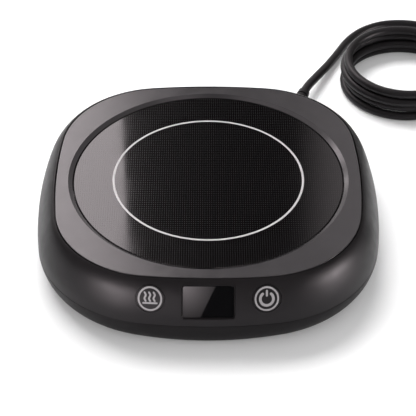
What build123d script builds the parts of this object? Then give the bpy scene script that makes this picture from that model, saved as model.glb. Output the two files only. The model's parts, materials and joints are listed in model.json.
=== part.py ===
from build123d import *
from math import atan2, cos, degrees, pi, radians, sin, sqrt, tan
import os

# Electric mug warmer. Millimetres, +Z up, the control panel faces -Y, and the origin is on the
# table under the middle of the body. From the bottom up it holds a base tray with the mains
# board, the heater stack under a glass plate, and a deck that drops into the upper housing.

# Outline of the body. Each level is a rounded square: half of its width across the flats, the
# radius of its long bowed sides, and the radius of its corners.
height = 31.0  # table to the deck's top
foot_stand = 1.0  # gap that the feet leave under the base
belt_height = 12.0  # the widest line, where the two housings part
belt_half = 75.0
deck_inset = 8.8  # how far the deck stands in from the widest line
base_inset = 3.6
belt_bow, belt_round = 2.587, 0.7067  # side and corner radius, as shares of the half width
deck_bow, deck_round = 3.82, 0.657
base_bow, base_round = 1.54, 0.728
fullness = 1.6  # 1 is a straight wall and 2 an elliptic one
wall = 2.2
shadow_gap = 0.18  # open line between the housings at the belt
tongue_wall = 1.05  # how much of the wall the base's tongue takes up
tongue_thickness = 1.5
tongue_rise = 2.0
slip = 0.15  # side clearance between parts that slide together
key_gap = 0.22  # clearance round a moving key

# Deck and heater stack
deck_thickness = 2.4
deck_gap = 0.5  # dark line round the deck
seat_ledge = 3.5  # ledge of the upper housing under the deck's rim
seat_ledge_thickness = 2.0
well_margin = 5.2  # deck left between the well and the middle of a side
well_depth = 1.2  # deck's top down to the glass
well_slope = 1.8  # how far the sloping wall comes in
skirt_wall = 2.2
glass_gap = 0.45
glass_thickness = 4.0
glass_edge = 0.3
gasket_thickness = 0.5
gasket_width = 2.8
glass_ledge = 3.5  # thickness of the deck's ledge under the gasket
glass_ledge_width = 3.7
spreader_gap, spreader_thickness = 2.5, 1.5
element_margin, element_thickness = 3.0, 0.4
felt_gap, felt_thickness = 2.0, 3.0
pan_gap, pan_thickness = 1.2, 0.8
pan_flange = 6.2
pan_screw_inset = 3.1
pan_screw_count = 4
pan_screw_turn = 20.0

# Sensor and cut-out under the element
probe_radius = 3.0
probe_drop = 1.9  # how far the probe stands out under the pan
probe_hole = 4.0
strip_thickness = 0.8
strip_width = 8.0
strip_length = 26.0
rivet_pitch = 20.0
rivet_radius = 1.0
rivet_head = 2.0
rivet_head_height = 0.6
cutout_x, cutout_y = -24.0, -16.0
cutout_length = 11.0
cutout_lead = 0.4
cutout_lead_reach = 1.8
cutout_lead_drop, cutout_lead_bend = 2.2, 1.0
cutout_entry_share = 0.42
slot_length, slot_width = 18.4, 5.0

# Display and keys, measured on the panel: a flat reference that leans with the front wall.
display_margin = 1.3  # panel left over the display, and under it down to the base's tongue
display_width = 21.7
bezel_slope = 0.4
bezel_front, bezel_slope_depth, bezel_seat, bezel_back = 0.1, 0.5, 1.6, 2.4
bezel_neck = 0.8
bezel_lip = 0.75
pane_front, pane_thickness = 0.55, 0.7
bezel_edge = 0.1  # flat rim round the bezel's slope
display_corner = 1.3
module_margin = 0.5
pad_margin = 2.2
board_depth = 6.2  # panel to the control board's front
key_reach = 23.7  # sideways from the middle
key_lift = 1.5
key_radius = 5.8
key_seat = 2.3
key_travel = 0.5
key_stop_gap = 0.1  # left between a key's stem and its switch when the key is pressed
key_ear, key_ear_height, key_ear_thickness = 2.0, 6.0, 1.0
stem_radius = 1.5
switch_size, switch_height = 4.5, 1.6
plunger_radius = 1.1
plunger_sink = 0.4
control_board_width, control_board_inset, board_thickness = 60.0, 0.8, 1.2
panel_boss_x, panel_boss_inset, panel_boss_radius = 14.6, 2.6, 1.9
small_screw_radius, small_head_radius, small_head_height = 1.0, 1.8, 1.2
socket_x, socket_y, socket_depth = -6.0, -1.0, 2.6
socket_width, socket_height = 9.0, 3.6
ribbon_width, ribbon_thickness = 7.0, 0.8
ribbon_lead, ribbon_bend = 5.0, 1.6
ribbon_share = 0.62  # height of the ribbon's run, in the room over the mains board
chip_size, chip_thickness, chip_x = 7.0, 1.0, 12.0

# Case screws: each one clamps base, upper housing and deck, and hides behind a foot.
case_screw_inset = 7.0  # in from the deck's corner, along the diagonal
case_screw_radius, case_head_radius, case_head_height = 1.5, 2.8, 2.2
case_screw_clearance = 0.2
case_head_well = 3.3
case_head_level = 12.0
case_post_wall = 1.5
case_tab_drop, case_tab_thickness = 1.8, 2.0  # below the skirt of the deck
case_tab_radius = 4.7
case_boss_radius = 3.5
case_screw_cover = 1.6  # deck left over the screw's tip
foot_radius, foot_recess = 7.0, 0.8
foot_stem = 3.0

# Mains board and its parts. Places are measured from the board's middle, and heights are shares
# of the room between the board and the heat shield.
board_from_gland_x, board_from_gland_y, power_z = -40.77, -47.7, 7.0
power_width, power_depth, power_thickness = 66.0, 44.0, 1.6
power_screw_inset = 3.5
power_post_radius = 2.75
power_screw_radius, power_head_radius, power_head_height = 1.2, 2.2, 1.5
power_screw_depth = 3.0
terminal_width, terminal_depth, terminal_share = 9.0, 7.0, 0.7
heater_terminal_at = (15.0, -12.0)
cutout_terminal_at = (-23.0, -13.0)
mains_terminal_at = (27.0, 10.0)
header_at_y, header_share = -18.0, 0.35
sensor_header_at_x, sensor_header_width = 7.5, 6.0
transformer_at, transformer_width, transformer_depth, transformer_share = (-10.0, 11.0), 14.0, 12.0, 0.82
core_limb, core_post_width, core_post_depth, winding_slip = 1.6, 3.6, 4.0, 0.2
film_at, film_width, film_depth, film_share = (8.0, 11.0), 6.0, 13.0, 0.78
smoothing_at, smoothing_length, smoothing_share = (-27.0, 8.0), 12.0, 0.7
fuse_at, fuse_length, fuse_radius = (17.0, 7.5), 9.0, 2.0
relay_at, relay_width, relay_depth, relay_share = (-9.0, -8.0), 15.0, 10.0, 0.82
component_round = 0.7
wire_radius, thin_wire_radius = 0.8, 0.5
wire_pitch = 4.4
wire_bend = 1.4
wire_lead = 3.0  # straight run of a wire at its ends
sensor_pitch = 2.0

# Mains lead
gland_turn = 19.7  # direction of the lead, from +Y towards +X
gland_height = 7.2
gland_seat = 0.7
gland_neck_radius = 3.5
gland_collar_radius = 4.2
gland_collar = 1.4
gland_block = 5.0  # depth of the block that the neck passes through
gland_block_width = 13.0
boot_length, boot_tip_radius = 27.0, 2.75
boot_straight = 4.0  # cord that keeps the boot's direction past its tip
boot_ring_count, boot_ring_width, boot_ring_depth = 6, 1.2, 0.7
boot_plain_base, boot_plain_tip = 5.0, 1.0  # boot left smooth before and after the rings
cord_radius = 2.1
clamp_start, clamp_length, clamp_width = 12.0, 6.0, 15.0
clamp_gap = 0.3
clamp_cover = 1.4
clamp_screw_reach = 5.3
lead_inside = 20.0
mains_entry_share = 0.45

# Coil and plug
coil_from_gland_x, coil_from_gland_y = 59.2, 41.8
coil_inner, coil_outer, coil_height = 26.0, 31.6, 16.0
plug_neck_length, plug_neck_radius, plug_neck_tip = 12.0, 4.6, 2.8
plug_width, plug_height, plug_length, plug_round = 22.0, 14.0, 23.0, 3.0
blade_width, blade_thickness, blade_length, blade_pitch = 6.35, 1.5, 17.5, 12.7
blade_root = 4.0

# Sizes, heights and radii that follow from the ones above
deck_half, base_half = belt_half - deck_inset, belt_half - base_inset
belt_side, belt_corner = belt_bow * belt_half, belt_round * belt_half
deck_side, deck_corner = deck_bow * deck_half, deck_round * deck_half
base_side, base_corner = base_bow * base_half, base_round * base_half
well_radius = deck_half - well_margin
seat_level = height - deck_thickness
glass_top = height - well_depth
glass_level = glass_top - glass_thickness
gasket_level = glass_level - gasket_thickness
skirt_level = gasket_level - glass_ledge
spreader_level = glass_level - spreader_thickness
element_level = spreader_level - element_thickness
felt_level = element_level - felt_thickness
pan_level = felt_level - pan_thickness
strip_level = pan_level - strip_thickness
floor_level = foot_stand + 2.0
power_top = power_z + power_thickness
board_room = pan_level - power_top
terminal_height = terminal_share * board_room
terminal_top = power_top + terminal_height
header_top = power_top + header_share * board_room
ribbon_level = power_top + ribbon_share * board_room
case_tab_level = skirt_level - case_tab_drop
case_screw_length = seat_level - case_screw_cover - case_head_level
display_rise = (height + belt_height + tongue_rise) / 2
display_height = height - belt_height - tongue_rise - 2 * display_margin
control_board_height = display_height - 2 * control_board_inset
panel_boss_y = panel_boss_inset - display_height / 2
bezel_inner_corner = display_corner - bezel_slope
pane_corner = bezel_inner_corner - slip
plunger_rise = key_travel + key_stop_gap

glass_bore = well_radius - well_slope
glass_radius = glass_bore - glass_gap
skirt_radius = glass_bore + skirt_wall
ledge_bore = glass_bore - glass_ledge_width
gasket_outer = glass_radius - slip
gasket_inner = gasket_outer - gasket_width
spreader_radius = ledge_bore - spreader_gap
element_radius = spreader_radius - element_margin
pan_outer = ledge_bore - pan_gap
pan_radius = pan_outer - pan_thickness
felt_radius = pan_radius - felt_gap
flange_radius = pan_outer + pan_flange
pan_screw_reach = flange_radius - pan_screw_inset

UP = (Align.CENTER, Align.CENTER, Align.MIN)
DOWN = (Align.CENTER, Align.CENTER, Align.MAX)
os.makedirs("parts", exist_ok=True)


def finish(piece, name):
    """Labels a finished piece and writes it under its own name."""
    piece.part.label = name
    export_step(piece.part, f"parts/{name}.step")


def outline(z):
    """Half width, side radius and corner radius of the body at a height."""
    belt = (belt_half, belt_side, belt_corner)
    if z >= belt_height:
        drop = (height - z) / (height - belt_height)
        share = (1 - (1 - drop) ** fullness) ** (1 / fullness)
        end = (deck_half, deck_side, deck_corner)
    else:
        drop = (belt_height - z) / (belt_height - foot_stand)
        share = (1 - drop**fullness) ** (1 / fullness)
        end = (base_half, base_side, base_corner)
    return tuple(e + (b - e) * share for e, b in zip(end, belt))


def corner_centre(size):
    """How far along X and along Y the centre of a corner arc lies."""
    half, side, corner = size
    reach = side - half
    return (sqrt(2 * (side - corner) ** 2 - reach**2) - reach) / 2


def rounded_square(size, z, inset=0.0):
    """A rounded square at a height: four bowed sides joined tangentially by four corner arcs."""
    half, side, corner = (value - inset for value in size)
    reach = side - half
    centre = corner_centre((half, side, corner))
    turn = degrees(atan2(centre, centre + reach))
    with BuildSketch(Plane.XY.offset(z)) as sketch:
        with BuildLine():
            for quarter in range(4):
                around = 90.0 * quarter
                side_centre = Vector(-reach, 0).rotate(Axis.Z, around)
                arc_centre = Vector(centre, centre).rotate(Axis.Z, around)
                CenterArc(side_centre, side, around - turn, 2 * turn)
                CenterArc(arc_centre, corner, around + turn, 90 - 2 * turn)
        make_face()
    return sketch.sketch


def levels(low, high, shares):
    """Heights between two levels, at the given shares of the way up."""
    return [low + (high - low) * share for share in shares]


def bend_radii(points):
    """The largest tangent arc that the two runs at each corner of a cord's route allow."""
    radii = []
    for before, here, after in zip(points, points[1:], points[2:]):
        first, second = Vector(here) - Vector(before), Vector(after) - Vector(here)
        half_turn = radians(first.get_angle(second)) / 2
        radii.append(0.45 * min(first.length, second.length) / tan(half_turn))
    return radii


def wire_path(*points, bend=wire_bend):
    """A wire's line through the points, with its corners rounded."""
    with BuildLine() as line:
        FilletPolyline(*points, radius=bend)
    return line.line


upper_shares = (0.0, 0.2, 0.45, 0.68, 0.84, 0.94, 0.985, 1.0)
lower_shares = (0.0, 0.06, 0.2, 0.45, 0.75, 1.0)
deck_size = outline(height)
belt_size = outline(belt_height)

# The panel is the chord of the front wall over the display's height.
panel_top = outline(display_rise + display_height / 2)[0]
panel_bottom = outline(display_rise - display_height / 2)[0]
panel_lean = atan2(panel_bottom - panel_top, display_height)
panel = Plane(
    origin=(0, -(panel_top + panel_bottom) / 2, display_rise),
    x_dir=(1, 0, 0),
    z_dir=(0, -cos(panel_lean), sin(panel_lean)),
)
keys = (("heat", -key_reach), ("power", key_reach))
board_back = board_depth + board_thickness

# The gland looks along the mains lead, square to the corner arc of the base.
gland_size = outline(gland_height)
gland_aim = radians(gland_turn)
gland_origin = (
    corner_centre(gland_size) + gland_size[2] * sin(gland_aim),
    corner_centre(gland_size) + gland_size[2] * cos(gland_aim),
    gland_height,
)
gland = Plane(
    origin=gland_origin,
    x_dir=(-cos(gland_aim), sin(gland_aim), 0),
    z_dir=(sin(gland_aim), cos(gland_aim), 0),
)

coil_x = gland_origin[0] + coil_from_gland_x
coil_y = gland_origin[1] + coil_from_gland_y

# The case screws stand on the diagonals, and the mains board keeps its place at the gland.
case_screw_side = corner_centre(deck_size) + (deck_corner - case_screw_inset) / sqrt(2)
case_screws = [(case_screw_side * x, case_screw_side * y) for x in (-1, 1) for y in (-1, 1)]
power_x = gland_origin[0] + board_from_gland_x
power_y = gland_origin[1] + board_from_gland_y
heater_terminal_x, heater_terminal_y = power_x + heater_terminal_at[0], power_y + heater_terminal_at[1]
cutout_terminal_x, cutout_terminal_y = power_x + cutout_terminal_at[0], power_y + cutout_terminal_at[1]
mains_terminal_x, mains_terminal_y = power_x + mains_terminal_at[0], power_y + mains_terminal_at[1]
header_y = power_y + header_at_y
sensor_header_x = power_x + sensor_header_at_x
power_screws = [
    (
        power_x + x * (power_width / 2 - power_screw_inset),
        power_y + y * (power_depth / 2 - power_screw_inset),
    )
    for x in (-1, 1)
    for y in (-1, 1)
]

# Solid shapes that several pieces are cut from
with BuildPart() as upper_blank:
    loft([rounded_square(outline(z), z) for z in levels(belt_height, height, upper_shares)])

cavity_shares = upper_shares[:-3] + (1.0,)
with BuildPart() as upper_cavity:
    loft([rounded_square(outline(z), z, wall) for z in levels(belt_height, seat_level, cavity_shares)])

with BuildPart() as base_blank:
    loft([rounded_square(outline(z), z) for z in levels(foot_stand, belt_height, lower_shares)])

with BuildPart() as base_cavity:
    loft([rounded_square(outline(z), z, wall) for z in levels(floor_level, belt_height, lower_shares)])

# Pads and tabs inside the upper housing, trimmed to its outer shape
with BuildPart() as inner_pads:
    with BuildSketch(panel.offset(wall)):
        Rectangle(display_width + 2 * pad_margin, display_height + 2 * pad_margin)
    extrude(amount=-(wall + bezel_back))
    with BuildSketch(panel.offset(-key_seat)):
        with Locations((-panel_boss_x, panel_boss_y), (panel_boss_x, panel_boss_y)):
            Circle(panel_boss_radius)
    extrude(amount=-(board_depth - key_seat))
    with BuildSketch(panel):
        with Locations((-panel_boss_x, panel_boss_y), (panel_boss_x, panel_boss_y)):
            Circle(panel_boss_radius)
    extrude(amount=-key_seat)
    for x, y in case_screws:
        with BuildSketch(Plane.XY.offset(case_tab_level)):
            with Locations(Location((x, y, 0), (0, 0, degrees(atan2(y, x))))):
                Circle(case_tab_radius)
                Rectangle(
                    4 * case_boss_radius, 2 * case_tab_radius, align=(Align.MIN, Align.CENTER)
                )
        extrude(amount=case_tab_thickness)
    add(upper_blank.part, mode=Mode.INTERSECT)

ledge_level = seat_level - seat_ledge_thickness
bay_half = control_board_width / 2 + 1.5

with BuildPart() as upper_hollow:
    add(upper_cavity.part)
    with BuildSketch(Plane.XY.offset(ledge_level)):
        add(rounded_square(deck_size, ledge_level, -4 * wall))
        add(rounded_square(deck_size, ledge_level, seat_ledge), mode=Mode.SUBTRACT)
        with Locations((0, -deck_half)):
            Rectangle(2 * bay_half, 2 * seat_ledge + 4 * wall, mode=Mode.SUBTRACT)
    extrude(amount=seat_ledge_thickness, mode=Mode.SUBTRACT)

with BuildPart() as upper_housing:
    add(upper_blank.part)
    add(upper_hollow.part, mode=Mode.SUBTRACT)
    add(inner_pads.part)
    extrude(rounded_square(deck_size, seat_level, -deck_gap), amount=deck_thickness, mode=Mode.SUBTRACT)
    # Room over the base's tongue, and the open line at the belt
    extrude(
        rounded_square(belt_size, belt_height, wall - tongue_wall - slip),
        amount=tongue_rise,
        mode=Mode.SUBTRACT,
    )
    split(bisect_by=Plane.XY.offset(belt_height + shadow_gap / 2), keep=Keep.TOP)
    with BuildSketch(panel.offset(2 * wall)):
        RectangleRounded(display_width + 2 * slip, display_height + 2 * slip, display_corner)
    extrude(amount=-(2 * wall + bezel_seat), mode=Mode.SUBTRACT)
    with BuildSketch(panel):
        Rectangle(
            display_width - 2 * bezel_neck + 2 * slip,
            display_height - 2 * bezel_neck + 2 * slip,
        )
    extrude(amount=-2 * board_depth, mode=Mode.SUBTRACT)
    for _, x in keys:
        with BuildSketch(panel.offset(2 * wall)):
            with Locations((x, key_lift)):
                Circle(key_radius + key_gap)
        extrude(amount=-(2 * wall + board_depth), mode=Mode.SUBTRACT)
        with BuildSketch(panel.offset(-key_seat)):
            with Locations((x, key_lift)):
                Rectangle(
                    2 * (key_radius + key_ear + 2 * key_gap),
                    key_ear_height + 2 * key_gap,
                )
        extrude(amount=-(board_depth - key_seat), mode=Mode.SUBTRACT)
    with BuildSketch(panel.offset(-board_depth)):
        with Locations((-panel_boss_x, panel_boss_y), (panel_boss_x, panel_boss_y)):
            Circle(small_screw_radius)
    extrude(amount=board_depth - key_seat + 1.0, mode=Mode.SUBTRACT)
    for x, y in case_screws:
        with Locations((x, y, case_tab_level)):
            Cylinder(
                case_screw_radius + case_screw_clearance,
                case_tab_thickness,
                align=UP,
                mode=Mode.SUBTRACT,
            )
finish(upper_housing, "upper_housing")

with BuildPart() as base_shell:
    add(base_blank.part)
    add(base_cavity.part, mode=Mode.SUBTRACT)
    split(bisect_by=Plane.XY.offset(belt_height - shadow_gap / 2), keep=Keep.BOTTOM)
    tongue_root = belt_height - tongue_rise
    with BuildSketch(Plane.XY.offset(tongue_root)):
        tongue_inset = wall - tongue_wall
        add(rounded_square(belt_size, tongue_root, tongue_inset))
        add(rounded_square(belt_size, tongue_root, tongue_inset + tongue_thickness), mode=Mode.SUBTRACT)
    extrude(amount=2 * tongue_rise)
    for x, y in case_screws:
        with Locations((x, y, floor_level)):
            Cylinder(case_head_well + case_post_wall, case_tab_level - floor_level, align=UP)
    for x, y in power_screws:
        with Locations((x, y, floor_level)):
            Cylinder(power_post_radius, power_z - floor_level, align=UP)
    # Block behind the gland, and the saddle of the cord clamp
    with BuildSketch(gland.offset(-wall / 2)):
        with Locations((0, (floor_level + belt_height) / 2 - gland_height)):
            Rectangle(gland_block_width, belt_height - floor_level)
    extrude(amount=-(gland_block - wall / 2))
    with BuildSketch(gland.offset(-clamp_start)):
        with Locations((0, floor_level - gland_height)):
            Rectangle(
                clamp_width,
                gland_height - clamp_gap / 2 - floor_level,
                align=(Align.CENTER, Align.MIN),
            )
    extrude(amount=-clamp_length)
    with BuildSketch(gland.offset(-clamp_start)):
        Circle(cord_radius)
    extrude(amount=-clamp_length, mode=Mode.SUBTRACT)
    with BuildSketch(gland.offset(wall)):
        Circle(gland_neck_radius)
    extrude(amount=-2 * (gland_block + wall), mode=Mode.SUBTRACT)
    with BuildSketch(gland.offset(2 * wall)):
        Circle(gland_collar_radius + 2 * slip)
    extrude(amount=-(2 * wall + gland_seat), mode=Mode.SUBTRACT)
    for side in (-1, 1):
        with BuildSketch(Plane.XY.offset(gland_height - clamp_gap / 2)):
            spot = gland.from_local_coords(
                (side * clamp_screw_reach, 0, -clamp_start - clamp_length / 2)
            )
            with Locations((spot.X, spot.Y)):
                Circle(power_screw_radius)
        extrude(amount=-power_screw_depth, mode=Mode.SUBTRACT)
    for x, y in case_screws:
        with Locations((x, y, foot_stand)):
            Cylinder(foot_radius + slip, foot_recess, align=UP, mode=Mode.SUBTRACT)
            Cylinder(case_head_well, case_head_level - foot_stand, align=UP, mode=Mode.SUBTRACT)
            Cylinder(
                case_screw_radius + case_screw_clearance,
                case_tab_level - foot_stand,
                align=UP,
                mode=Mode.SUBTRACT,
            )
    for x, y in power_screws:
        with Locations((x, y, power_z)):
            Cylinder(power_screw_radius, power_screw_depth, align=DOWN, mode=Mode.SUBTRACT)
finish(base_shell, "base_shell")

foot_names = ("front_left", "rear_left", "front_right", "rear_right")
for place, (x, y) in zip(foot_names, case_screws):
    with BuildPart() as foot:
        with Locations((x, y, 0)):
            Cylinder(foot_radius, foot_stand + foot_recess, align=UP)
        with Locations((x, y, foot_stand + foot_recess)):
            Cylinder(case_head_well, foot_stem, align=UP)
        fillet(foot.edges().sort_by(Axis.Z)[0], foot_stand * 0.6)
    finish(foot, f"foot_{place}")

with BuildPart() as case_screw_set:
    for x, y in case_screws:
        with Locations((x, y, case_head_level)):
            Cylinder(case_head_radius, case_head_height, align=DOWN)
            Cylinder(case_screw_radius, case_screw_length, align=UP)
        with BuildSketch(Plane.XY.offset(case_head_level - case_head_height)):
            with Locations((x, y)):
                Rectangle(3.2, 0.7)
                Rectangle(0.7, 3.2)
        extrude(amount=1.2, mode=Mode.SUBTRACT)
finish(case_screw_set, "case_screws")

with BuildPart() as top_deck:
    extrude(rounded_square(deck_size, seat_level), amount=deck_thickness)
    fillet(top_deck.faces().sort_by(Axis.Z)[-1].edges(), 0.4)
    with Locations((0, 0, skirt_level)):
        Cylinder(skirt_radius, seat_level - skirt_level, align=UP)
    for x, y in case_screws:
        with Locations((x, y, case_tab_level + case_tab_thickness)):
            Cylinder(
                case_boss_radius,
                seat_level - case_tab_level - case_tab_thickness,
                align=UP,
            )
    with Locations((0, 0, gasket_level)):
        Cylinder(glass_bore, height - gasket_level, align=UP, mode=Mode.SUBTRACT)
    with Locations((0, 0, glass_top)):
        Cone(glass_bore, well_radius, well_depth, align=UP, mode=Mode.SUBTRACT)
    with Locations((0, 0, skirt_level)):
        Cylinder(ledge_bore, glass_ledge, align=UP, mode=Mode.SUBTRACT)
    for x, y in case_screws:
        with Locations((x, y, case_head_level)):
            Cylinder(case_screw_radius, case_screw_length, align=UP, mode=Mode.SUBTRACT)
    with BuildSketch(Plane.XY.offset(skirt_level)):
        with PolarLocations(pan_screw_reach, pan_screw_count, start_angle=pan_screw_turn):
            Circle(small_screw_radius)
    extrude(amount=glass_ledge - gasket_thickness, mode=Mode.SUBTRACT)
finish(top_deck, "top_deck")

with BuildPart() as glass_plate:
    with Locations((0, 0, glass_level)):
        Cylinder(glass_radius, glass_thickness, align=UP)
    chamfer(glass_plate.faces().sort_by(Axis.Z)[-1].edges(), glass_edge)
finish(glass_plate, "glass_plate")

with BuildPart() as plate_gasket:
    with BuildSketch(Plane.XY.offset(gasket_level)):
        Circle(gasket_outer)
        Circle(gasket_inner, mode=Mode.SUBTRACT)
    extrude(amount=gasket_thickness)
finish(plate_gasket, "plate_gasket")

with BuildPart() as heat_spreader:
    with Locations((0, 0, spreader_level)):
        Cylinder(spreader_radius, spreader_thickness, align=UP)
finish(heat_spreader, "heat_spreader")

with BuildPart() as heating_element:
    with Locations((0, 0, element_level)):
        Cylinder(element_radius, element_thickness, align=UP)
finish(heating_element, "heating_element")

# Openings under the element: for the probe, the cut-out and the element's own wires
with BuildPart() as stack_openings:
    with BuildSketch(Plane.XY.offset(strip_level)):
        Circle(probe_hole)
        with Locations((cutout_x, cutout_y)):
            Rectangle(slot_length, slot_width)
        with Locations((heater_terminal_x, heater_terminal_y)):
            Circle(probe_hole)
    extrude(amount=element_level - strip_level)

rivet_spots = [(-rivet_pitch / 2, 0), (rivet_pitch / 2, 0)] + [
    (cutout_x, cutout_y - rivet_pitch / 2),
    (cutout_x, cutout_y + rivet_pitch / 2),
]

with BuildPart() as insulation_felt:
    with Locations((0, 0, felt_level)):
        Cylinder(felt_radius, felt_thickness, align=UP)
    add(stack_openings.part, mode=Mode.SUBTRACT)
finish(insulation_felt, "insulation_felt")

with BuildPart() as heat_shield:
    with Locations((0, 0, pan_level)):
        Cylinder(pan_outer, skirt_level - pan_level, align=UP)
    with Locations((0, 0, felt_level)):
        Cylinder(pan_radius, skirt_level - felt_level, align=UP, mode=Mode.SUBTRACT)
    with BuildSketch(Plane.XY.offset(skirt_level - pan_thickness)):
        Circle(flange_radius)
        Circle(pan_outer, mode=Mode.SUBTRACT)
        with PolarLocations(pan_screw_reach, pan_screw_count, start_angle=pan_screw_turn):
            Circle(small_screw_radius, mode=Mode.SUBTRACT)
    extrude(amount=pan_thickness)
    add(stack_openings.part, mode=Mode.SUBTRACT)
    with BuildSketch(Plane.XY.offset(pan_level)):
        with Locations(*rivet_spots):
            Circle(rivet_radius)
    extrude(amount=pan_thickness, mode=Mode.SUBTRACT)
finish(heat_shield, "heat_shield")

with BuildPart() as shield_screws:
    with BuildSketch(Plane.XY.offset(skirt_level - pan_thickness)):
        with PolarLocations(pan_screw_reach, pan_screw_count, start_angle=pan_screw_turn):
            Circle(small_head_radius)
    extrude(amount=-small_head_height)
    with BuildSketch(Plane.XY.offset(skirt_level - pan_thickness)):
        with PolarLocations(pan_screw_reach, pan_screw_count, start_angle=pan_screw_turn):
            Circle(small_screw_radius)
    extrude(amount=pan_thickness + glass_ledge - gasket_thickness)
finish(shield_screws, "heat_shield_screws")

with BuildPart() as temperature_probe:
    with Locations((0, 0, pan_level - probe_drop)):
        Cylinder(probe_radius, element_level - pan_level + probe_drop, align=UP)
finish(temperature_probe, "temperature_probe")

with BuildPart() as probe_clip:
    with BuildSketch(Plane.XY.offset(strip_level)):
        SlotOverall(strip_length, strip_width)
        Circle(probe_radius, mode=Mode.SUBTRACT)
        with Locations(*rivet_spots[:2]):
            Circle(rivet_radius, mode=Mode.SUBTRACT)
    extrude(amount=strip_thickness)
finish(probe_clip, "probe_clip")

cutout_radius = (element_level - pan_level) / 2
cutout_axis = element_level - cutout_radius
lead_x = cutout_length / 2 + cutout_lead_reach
with BuildPart() as thermal_cutout:
    with BuildSketch(Plane.YZ.offset(cutout_x - cutout_length / 2)):
        with Locations((cutout_y, cutout_axis)):
            Circle(cutout_radius)
    extrude(amount=cutout_length)
    for side in (-1, 1):
        start = (cutout_x + side * (cutout_length / 2 - cutout_lead), cutout_y, cutout_axis)
        corner = (cutout_x + side * lead_x, cutout_y, cutout_axis)
        end = (cutout_x + side * lead_x, cutout_y, strip_level - cutout_lead_drop)
        path = wire_path(start, corner, end, bend=cutout_lead_bend)
        with BuildSketch(Plane(origin=path @ 0, z_dir=path % 0)):
            Circle(cutout_lead)
        sweep(path=path)
finish(thermal_cutout, "thermal_cutout")

with BuildPart() as cutout_clip:
    with BuildSketch(Plane.XY.offset(strip_level)):
        with Locations(Location((cutout_x, cutout_y, 0), (0, 0, 90))):
            SlotOverall(strip_length, strip_width)
        with Locations(*rivet_spots[2:]):
            Circle(rivet_radius, mode=Mode.SUBTRACT)
    extrude(amount=strip_thickness)
finish(cutout_clip, "cutout_clip")

with BuildPart() as clip_rivets:
    for x, y in rivet_spots:
        with Locations((x, y, strip_level)):
            Cylinder(rivet_radius, strip_thickness + pan_thickness, align=UP)
            Cylinder(rivet_head, rivet_head_height, align=DOWN)
finish(clip_rivets, "clip_rivets")

# Display
with BuildPart() as display_bezel:
    with BuildSketch(panel.offset(-bezel_front)):
        RectangleRounded(display_width, display_height, display_corner)
    extrude(amount=-(bezel_seat - bezel_front))
    with BuildSketch(panel.offset(-bezel_seat)):
        Rectangle(display_width - 2 * bezel_neck, display_height - 2 * bezel_neck)
    extrude(amount=-(bezel_back - bezel_seat))
    with BuildSketch(panel.offset(-bezel_front)):
        RectangleRounded(
            display_width - 2 * bezel_edge, display_height - 2 * bezel_edge, display_corner - bezel_edge
        )
    with BuildSketch(panel.offset(-bezel_slope_depth)):
        RectangleRounded(
            display_width - 2 * bezel_slope, display_height - 2 * bezel_slope, bezel_inner_corner
        )
    loft(mode=Mode.SUBTRACT)
    with BuildSketch(panel.offset(-bezel_slope_depth)):
        RectangleRounded(
            display_width - 2 * bezel_slope, display_height - 2 * bezel_slope, bezel_inner_corner
        )
    extrude(amount=-(pane_front + pane_thickness - bezel_slope_depth), mode=Mode.SUBTRACT)
    with BuildSketch(panel.offset(-bezel_slope_depth)):
        Rectangle(
            display_width - 2 * (bezel_slope + bezel_lip),
            display_height - 2 * (bezel_slope + bezel_lip),
        )
    extrude(amount=-bezel_back, mode=Mode.SUBTRACT)
finish(display_bezel, "display_bezel")

with BuildPart() as display_window:
    with BuildSketch(panel.offset(-pane_front)):
        RectangleRounded(
            display_width - 2 * (bezel_slope + slip),
            display_height - 2 * (bezel_slope + slip),
            pane_corner,
        )
    extrude(amount=-pane_thickness)
finish(display_window, "display_window")

with BuildPart() as display_module:
    with BuildSketch(panel.offset(-bezel_back)):
        Rectangle(
            display_width - 2 * module_margin, display_height - 2 * module_margin - bezel_neck
        )
    extrude(amount=-(board_depth - bezel_back))
finish(display_module, "display_module")

with BuildPart() as control_board:
    with BuildSketch(panel.offset(-board_depth)):
        Rectangle(control_board_width, control_board_height)
        with Locations((-panel_boss_x, panel_boss_y), (panel_boss_x, panel_boss_y)):
            Circle(small_screw_radius, mode=Mode.SUBTRACT)
    extrude(amount=-board_thickness)
finish(control_board, "control_board")

with BuildPart() as panel_screws:
    with BuildSketch(panel.offset(-board_back)):
        with Locations((-panel_boss_x, panel_boss_y), (panel_boss_x, panel_boss_y)):
            Circle(small_head_radius)
    extrude(amount=-small_head_height)
    with BuildSketch(panel.offset(-board_back)):
        with Locations((-panel_boss_x, panel_boss_y), (panel_boss_x, panel_boss_y)):
            Circle(small_screw_radius)
    extrude(amount=board_back - key_seat + 0.5)
finish(panel_screws, "control_board_screws")

with BuildPart() as control_chip:
    with BuildSketch(panel.offset(-board_back)):
        with Locations((chip_x, 1.0)):
            Rectangle(chip_size, chip_size)
    extrude(amount=-chip_thickness)
finish(control_chip, "control_chip")

with BuildPart() as ribbon_socket:
    with BuildSketch(panel.offset(-board_back)):
        with Locations((socket_x, socket_y)):
            Rectangle(socket_width, socket_height)
    extrude(amount=-socket_depth)
finish(ribbon_socket, "ribbon_socket")

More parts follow.
